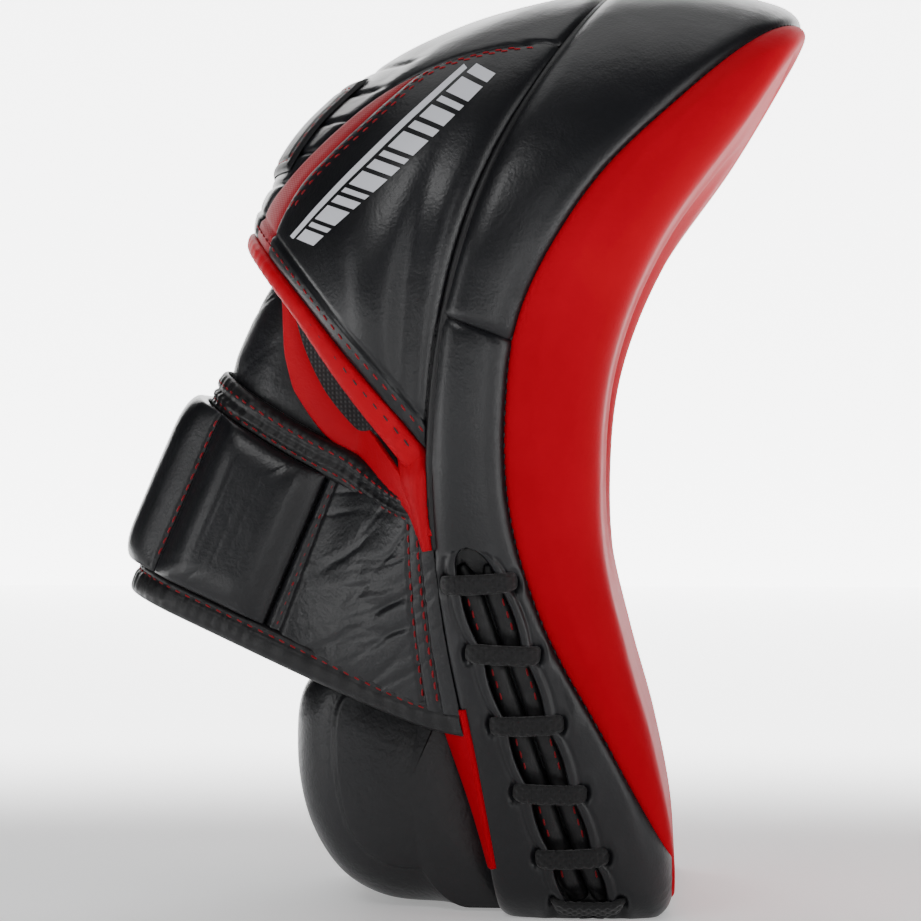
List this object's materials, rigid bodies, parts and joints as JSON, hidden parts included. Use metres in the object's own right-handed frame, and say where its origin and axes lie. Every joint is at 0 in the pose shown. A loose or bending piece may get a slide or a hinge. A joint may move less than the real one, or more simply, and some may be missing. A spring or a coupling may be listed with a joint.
{
  "type": "boxing focus mitt",
  "caption": "Curved padded boxing focus mitt: concave strike face with a target dish, laced sides, back-of-hand hood, padded wrist cuff and a hinged hook-and-loop closure strap.",
  "frame": {"origin": "Centre of the overall footprint, on the level that the mitt's base stands on.", "axes": "+Z runs from the wrist end up to the fingertip end, +X is the way the strike face looks, and +Y is towards the wearer's left side."},
  "size_m": [0.2086, 0.1822, 0.2794],
  "materials": {
    "black_leather": "fine grain cowhide, semi-matt",
    "red_leather": "fine grain cowhide, semi-gloss",
    "black_stretch": "mesh lining",
    "red_stretch": "stretch panel",
    "pad_foam": "closed-cell foam",
    "gel": "gel sheet",
    "braid": "flat braided lace",
    "hook_and_loop": "hook-and-loop tape",
    "black_binding": "rolled edge binding"
  },
  "bodies": {
    "mitt": {"target_panel": "red_leather", "strike_cover": "red_leather", "palm_side_panel": "black_leather", "fingertip_side_panel": "black_leather", "base_panel": "black_leather", "right_laced_side_panel": "black_leather", "left_laced_side_panel": "black_leather", "right_lace_tongue": "black_leather", "left_lace_tongue": "black_leather", "right_lace_rolls": "black_binding", "left_lace_rolls": "black_binding", "right_lace": "braid", "left_lace": "braid", "gel_sheet": "gel", "impact_foam": "pad_foam", "backing_foam": "pad_foam", "hood_side_panel": "black_leather", "hood_centre_panel": "black_leather", "right_stretch_inset": "red_stretch", "left_stretch_inset": "red_stretch", "hood_foam": "pad_foam", "hood_lining": "black_stretch", "hood_binding": "red_leather", "knuckle_patch": "black_leather", "palm_grip": "black_leather", "finger_band": "black_leather", "cuff_padding": "black_stretch", "cuff_top_band": "black_binding", "cuff_bottom_band": "black_binding", "strap_root_panel": "black_leather", "left_cuff_panel": "black_leather", "back_of_hand_panel": "black_leather", "right_wrist_gusset": "red_leather", "left_wrist_gusset": "red_leather", "wrist_cushion_cover": "black_leather", "wrist_cushion_foam": "pad_foam", "right_wedge": "red_leather", "left_wedge": "red_leather", "loop_patch": "hook_and_loop"},
    "strap_tab": {"strap_near_panel": "black_leather"},
    "strap_back": {"strap_back_panel": "black_leather"},
    "strap_tip": {"strap_tip_panel": "black_leather", "hook_patch": "hook_and_loop"}
  },
  "joints": [
    {"name": "strap_open", "type": "hinge", "parent": "mitt", "child": "strap_tab", "pos_m": [-0.0443, -0.06151, 0.11006], "axis": [0.3987, 0, 0.9171], "range_deg": [0, 65]},
    {"name": "strap_back_bend", "type": "hinge", "parent": "strap_tab", "child": "strap_back", "pos_m": [-0.08425, -0.04317, 0.12743], "axis": [0.3987, 0, 0.9171], "range_deg": [0, 50]},
    {"name": "strap_tip_bend", "type": "hinge", "parent": "strap_back", "child": "strap_tip", "pos_m": [-0.08425, 0.04317, 0.12743], "axis": [0.3987, 0, 0.9171], "range_deg": [0, 56]}
  ],
  "couplings": [
    {"joint": "strap_back_bend", "follows": "strap_open", "ratio": 0.75},
    {"joint": "strap_tip_bend", "follows": "strap_open", "ratio": 0.85}
  ]
}
